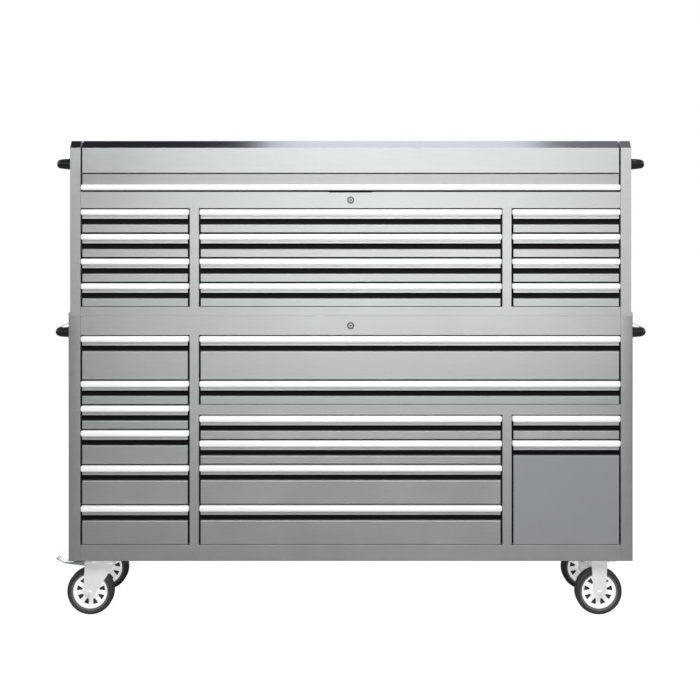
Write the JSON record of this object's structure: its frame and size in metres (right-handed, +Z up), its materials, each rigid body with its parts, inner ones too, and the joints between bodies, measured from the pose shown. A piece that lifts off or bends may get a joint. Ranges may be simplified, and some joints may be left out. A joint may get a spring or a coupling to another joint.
{
  "type": "rolling tool chest",
  "caption": "Wide rolling tool chest: roller cabinet on swivel and rigid casters with a lidded top chest, full-width pulls, key locks and side handles.",
  "frame": {"origin": "on the floor, under the middle of the outline", "axes": "+X to the right along the width, +Y to the back, +Z up; the drawers open towards -Y"},
  "size_m": [1.943, 0.47, 1.553],
  "materials": {
    "brushed_panels": "satin brushed",
    "pull_aluminium": "bright satin",
    "recess_black": "matt",
    "inner_grey": "satin",
    "drawer_liner": "ribbed matt",
    "zinc_plate": "bright zinc",
    "bright_chrome": "polished",
    "black_enamel": "gloss",
    "black_handles": "semi-gloss",
    "wheel_tyre": "matt moulded",
    "wheel_rim": "satin",
    "black_plastic": "satin"
  },
  "bodies": {
    "root": {"cabinet_shell": "brushed_panels", "cabinet_top": "brushed_panels", "cabinet_front_frame": "brushed_panels", "cabinet_partitions": "brushed_panels", "cabinet_slide_rails": "zinc_plate", "cabinet_side_handles": "black_handles", "chest_shell": "brushed_panels", "chest_deck": "brushed_panels", "chest_front_frame": "brushed_panels", "chest_partitions": "brushed_panels", "chest_slide_rails": "zinc_plate", "chest_side_handles": "black_handles", "lock_barrels_and_guides": "bright_chrome", "lid_hinge": "zinc_plate", "caster_plates": "zinc_plate", "right_caster_forks": "zinc_plate"},
    "lid": {"lid": "brushed_panels", "lid_pull": "pull_aluminium"},
    "front_left_caster": {"front_left_caster_fork": "zinc_plate"},
    "rear_left_caster": {"rear_left_caster_fork": "zinc_plate"},
    "front_left_brake": {"front_left_brake_pedal": "bright_chrome"},
    "rear_left_brake": {"rear_left_brake_pedal": "bright_chrome"},
    "front_left_wheel": {"front_left_wheel": "wheel_tyre"},
    "front_right_wheel": {"front_right_wheel": "wheel_tyre"},
    "rear_left_wheel": {"rear_left_wheel": "wheel_tyre"},
    "rear_right_wheel": {"rear_right_wheel": "wheel_tyre"},
    "chest_lock_plug": {"chest_lock_plug": "bright_chrome"},
    "chest_lock_bar": {"chest_lock_bar": "zinc_plate"},
    "cabinet_lock_plug": {"cabinet_lock_plug": "bright_chrome"},
    "cabinet_lock_bar": {"cabinet_lock_bar": "zinc_plate"},
    "lid_strut_cylinder_left": {"lid_strut_cylinder_left": "black_enamel"},
    "lid_strut_rod_left": {"lid_strut_rod_left": "bright_chrome"},
    "lid_strut_cylinder_right": {"lid_strut_cylinder_right": "black_enamel"},
    "lid_strut_rod_right": {"lid_strut_rod_right": "bright_chrome"},
    "cabinet_left_drawer_1": {"cabinet_left_drawer_1": "brushed_panels"},
    "cabinet_left_drawer_2": {"cabinet_left_drawer_2": "brushed_panels"},
    "cabinet_left_drawer_3": {"cabinet_left_drawer_3": "brushed_panels"},
    "cabinet_left_drawer_4": {"cabinet_left_drawer_4": "brushed_panels"},
    "cabinet_left_drawer_5": {"cabinet_left_drawer_5": "brushed_panels"},
    "cabinet_left_drawer_6": {"cabinet_left_drawer_6": "brushed_panels"},
    "cabinet_wide_drawer_1": {"cabinet_wide_drawer_1": "brushed_panels"},
    "cabinet_wide_drawer_2": {"cabinet_wide_drawer_2": "brushed_panels"},
    "cabinet_middle_drawer_1": {"cabinet_middle_drawer_1": "brushed_panels"},
    "cabinet_middle_drawer_2": {"cabinet_middle_drawer_2": "brushed_panels"},
    "cabinet_middle_drawer_3": {"cabinet_middle_drawer_3": "brushed_panels"},
    "cabinet_middle_drawer_4": {"cabinet_middle_drawer_4": "brushed_panels"},
    "cabinet_right_drawer_1": {"cabinet_right_drawer_1": "brushed_panels"},
    "cabinet_right_drawer_2": {"cabinet_right_drawer_2": "brushed_panels"},
    "chest_left_drawer_1": {"chest_left_drawer_1": "brushed_panels"},
    "chest_left_drawer_2": {"chest_left_drawer_2": "brushed_panels"},
    "chest_left_drawer_3": {"chest_left_drawer_3": "brushed_panels"},
    "chest_left_drawer_4": {"chest_left_drawer_4": "brushed_panels"},
    "chest_middle_drawer_1": {"chest_middle_drawer_1": "brushed_panels"},
    "chest_middle_drawer_2": {"chest_middle_drawer_2": "brushed_panels"},
    "chest_middle_drawer_3": {"chest_middle_drawer_3": "brushed_panels"},
    "chest_middle_drawer_4": {"chest_middle_drawer_4": "brushed_panels"},
    "chest_right_drawer_1": {"chest_right_drawer_1": "brushed_panels"},
    "chest_right_drawer_2": {"chest_right_drawer_2": "brushed_panels"},
    "chest_right_drawer_3": {"chest_right_drawer_3": "brushed_panels"},
    "chest_right_drawer_4": {"chest_right_drawer_4": "brushed_panels"}
  },
  "joints": [
    {"name": "lid_lift", "type": "hinge", "parent": "root", "child": "lid", "pos_m": [0, 0.2305, 1.5485], "axis": [-1, 0, 0], "range_deg": [0, 60]},
    {"name": "front_left_caster_swivel", "type": "hinge", "parent": "root", "child": "front_left_caster", "pos_m": [-0.8145, -0.146, 0.1845], "axis": [0, 0, 1], "continuous": true},
    {"name": "rear_left_caster_swivel", "type": "hinge", "parent": "root", "child": "rear_left_caster", "pos_m": [-0.8145, 0.159, 0.1845], "axis": [0, 0, 1], "continuous": true},
    {"name": "front_left_brake_press", "type": "hinge", "parent": "front_left_caster", "child": "front_left_brake", "pos_m": [-0.8645, -0.146, 0.1665], "axis": [0, -1, 0], "range_deg": [0, 15]},
    {"name": "rear_left_brake_press", "type": "hinge", "parent": "rear_left_caster", "child": "rear_left_brake", "pos_m": [-0.8645, 0.159, 0.1665], "axis": [0, -1, 0], "range_deg": [0, 15]},
    {"name": "front_left_wheel_roll", "type": "hinge", "parent": "front_left_caster", "child": "front_left_wheel", "pos_m": [-0.8545, -0.146, 0.0762], "axis": [0, 1, 0], "continuous": true},
    {"name": "front_right_wheel_roll", "type": "hinge", "parent": "root", "child": "front_right_wheel", "pos_m": [0.8145, -0.146, 0.0762], "axis": [0, 1, 0], "continuous": true},
    {"name": "rear_left_wheel_roll", "type": "hinge", "parent": "rear_left_caster", "child": "rear_left_wheel", "pos_m": [-0.8545, 0.159, 0.0762], "axis": [0, 1, 0], "continuous": true},
    {"name": "rear_right_wheel_roll", "type": "hinge", "parent": "root", "child": "rear_right_wheel", "pos_m": [0.8145, 0.159, 0.0762], "axis": [0, 1, 0], "continuous": true},
    {"name": "chest_lock_turn", "type": "hinge", "parent": "root", "child": "chest_lock_plug", "pos_m": [0, -0.219, 1.3605], "axis": [0, 1, 0], "range_deg": [0, 90]},
    {"name": "cabinet_lock_turn", "type": "hinge", "parent": "root", "child": "cabinet_lock_plug", "pos_m": [0, -0.222, 0.9535], "axis": [0, 1, 0], "range_deg": [0, 90]},
    {"name": "chest_lock_bar_slide", "type": "slide", "parent": "root", "child": "chest_lock_bar", "axis": [1, 0, 0], "range_m": [0, 0.018]},
    {"name": "cabinet_lock_bar_slide", "type": "slide", "parent": "root", "child": "cabinet_lock_bar", "axis": [1, 0, 0], "range_m": [0, 0.018]},
    {"name": "lid_strut_left_tilt", "type": "hinge", "parent": "root", "child": "lid_strut_cylinder_left", "pos_m": [0, 0.2082, 1.4355], "axis": [-1, 0, 0], "range_deg": [0, 40]},
    {"name": "lid_strut_left_extend", "type": "slide", "parent": "lid_strut_cylinder_left", "child": "lid_strut_rod_left", "axis": [0, -0.7109, 0.7033], "range_m": [0, 0.085]},
    {"name": "lid_strut_right_tilt", "type": "hinge", "parent": "root", "child": "lid_strut_cylinder_right", "pos_m": [0, 0.2082, 1.4355], "axis": [-1, 0, 0], "range_deg": [0, 40]},
    {"name": "lid_strut_right_extend", "type": "slide", "parent": "lid_strut_cylinder_right", "child": "lid_strut_rod_right", "axis": [0, -0.7109, 0.7033], "range_m": [0, 0.085]},
    {"name": "cabinet_left_drawer_1_slide", "type": "slide", "parent": "root", "child": "cabinet_left_drawer_1", "axis": [0, -1, 0], "range_m": [0, 0.33]},
    {"name": "cabinet_left_drawer_2_slide", "type": "slide", "parent": "root", "child": "cabinet_left_drawer_2", "axis": [0, -1, 0], "range_m": [0, 0.33]},
    {"name": "cabinet_left_drawer_3_slide", "type": "slide", "parent": "root", "child": "cabinet_left_drawer_3", "axis": [0, -1, 0], "range_m": [0, 0.33]},
    {"name": "cabinet_left_drawer_4_slide", "type": "slide", "parent": "root", "child": "cabinet_left_drawer_4", "axis": [0, -1, 0], "range_m": [0, 0.33]},
    {"name": "cabinet_left_drawer_5_slide", "type": "slide", "parent": "root", "child": "cabinet_left_drawer_5", "axis": [0, -1, 0], "range_m": [0, 0.33]},
    {"name": "cabinet_left_drawer_6_slide", "type": "slide", "parent": "root", "child": "cabinet_left_drawer_6", "axis": [0, -1, 0], "range_m": [0, 0.33]},
    {"name": "cabinet_wide_drawer_1_slide", "type": "slide", "parent": "root", "child": "cabinet_wide_drawer_1", "axis": [0, -1, 0], "range_m": [0, 0.33]},
    {"name": "cabinet_wide_drawer_2_slide", "type": "slide", "parent": "root", "child": "cabinet_wide_drawer_2", "axis": [0, -1, 0], "range_m": [0, 0.33]},
    {"name": "cabinet_middle_drawer_1_slide", "type": "slide", "parent": "root", "child": "cabinet_middle_drawer_1", "axis": [0, -1, 0], "range_m": [0, 0.33]},
    {"name": "cabinet_middle_drawer_2_slide", "type": "slide", "parent": "root", "child": "cabinet_middle_drawer_2", "axis": [0, -1, 0], "range_m": [0, 0.33]},
    {"name": "cabinet_middle_drawer_3_slide", "type": "slide", "parent": "root", "child": "cabinet_middle_drawer_3", "axis": [0, -1, 0], "range_m": [0, 0.33]},
    {"name": "cabinet_middle_drawer_4_slide", "type": "slide", "parent": "root", "child": "cabinet_middle_drawer_4", "axis": [0, -1, 0], "range_m": [0, 0.33]},
    {"name": "cabinet_right_drawer_1_slide", "type": "slide", "parent": "root", "child": "cabinet_right_drawer_1", "axis": [0, -1, 0], "range_m": [0, 0.33]},
    {"name": "cabinet_right_drawer_2_slide", "type": "slide", "parent": "root", "child": "cabinet_right_drawer_2", "axis": [0, -1, 0], "range_m": [0, 0.33]},
    {"name": "chest_left_drawer_1_slide", "type": "slide", "parent": "root", "child": "chest_left_drawer_1", "axis": [0, -1, 0], "range_m": [0, 0.33]},
    {"name": "chest_left_drawer_2_slide", "type": "slide", "parent": "root", "child": "chest_left_drawer_2", "axis": [0, -1, 0], "range_m": [0, 0.33]},
    {"name": "chest_left_drawer_3_slide", "type": "slide", "parent": "root", "child": "chest_left_drawer_3", "axis": [0, -1, 0], "range_m": [0, 0.33]},
    {"name": "chest_left_drawer_4_slide", "type": "slide", "parent": "root", "child": "chest_left_drawer_4", "axis": [0, -1, 0], "range_m": [0, 0.33]},
    {"name": "chest_middle_drawer_1_slide", "type": "slide", "parent": "root", "child": "chest_middle_drawer_1", "axis": [0, -1, 0], "range_m": [0, 0.33]},
    {"name": "chest_middle_drawer_2_slide", "type": "slide", "parent": "root", "child": "chest_middle_drawer_2", "axis": [0, -1, 0], "range_m": [0, 0.33]},
    {"name": "chest_middle_drawer_3_slide", "type": "slide", "parent": "root", "child": "chest_middle_drawer_3", "axis": [0, -1, 0], "range_m": [0, 0.33]},
    {"name": "chest_middle_drawer_4_slide", "type": "slide", "parent": "root", "child": "chest_middle_drawer_4", "axis": [0, -1, 0], "range_m": [0, 0.33]},
    {"name": "chest_right_drawer_1_slide", "type": "slide", "parent": "root", "child": "chest_right_drawer_1", "axis": [0, -1, 0], "range_m": [0, 0.33]},
    {"name": "chest_right_drawer_2_slide", "type": "slide", "parent": "root", "child": "chest_right_drawer_2", "axis": [0, -1, 0], "range_m": [0, 0.33]},
    {"name": "chest_right_drawer_3_slide", "type": "slide", "parent": "root", "child": "chest_right_drawer_3", "axis": [0, -1, 0], "range_m": [0, 0.33]},
    {"name": "chest_right_drawer_4_slide", "type": "slide", "parent": "root", "child": "chest_right_drawer_4", "axis": [0, -1, 0], "range_m": [0, 0.33]}
  ],
  "couplings": [
    {"joint": "chest_lock_bar_slide", "follows": "chest_lock_turn", "m_per_rad": 0.010804},
    {"joint": "cabinet_lock_bar_slide", "follows": "cabinet_lock_turn", "m_per_rad": 0.010804},
    {"joint": "lid_strut_left_tilt", "follows": "lid_lift", "ratio": 0.50797},
    {"joint": "lid_strut_left_extend", "follows": "lid_lift", "m_per_rad": 0.080384},
    {"joint": "lid_strut_right_tilt", "follows": "lid_lift", "ratio": 0.50797},
    {"joint": "lid_strut_right_extend", "follows": "lid_lift", "m_per_rad": 0.080384}
  ]
}
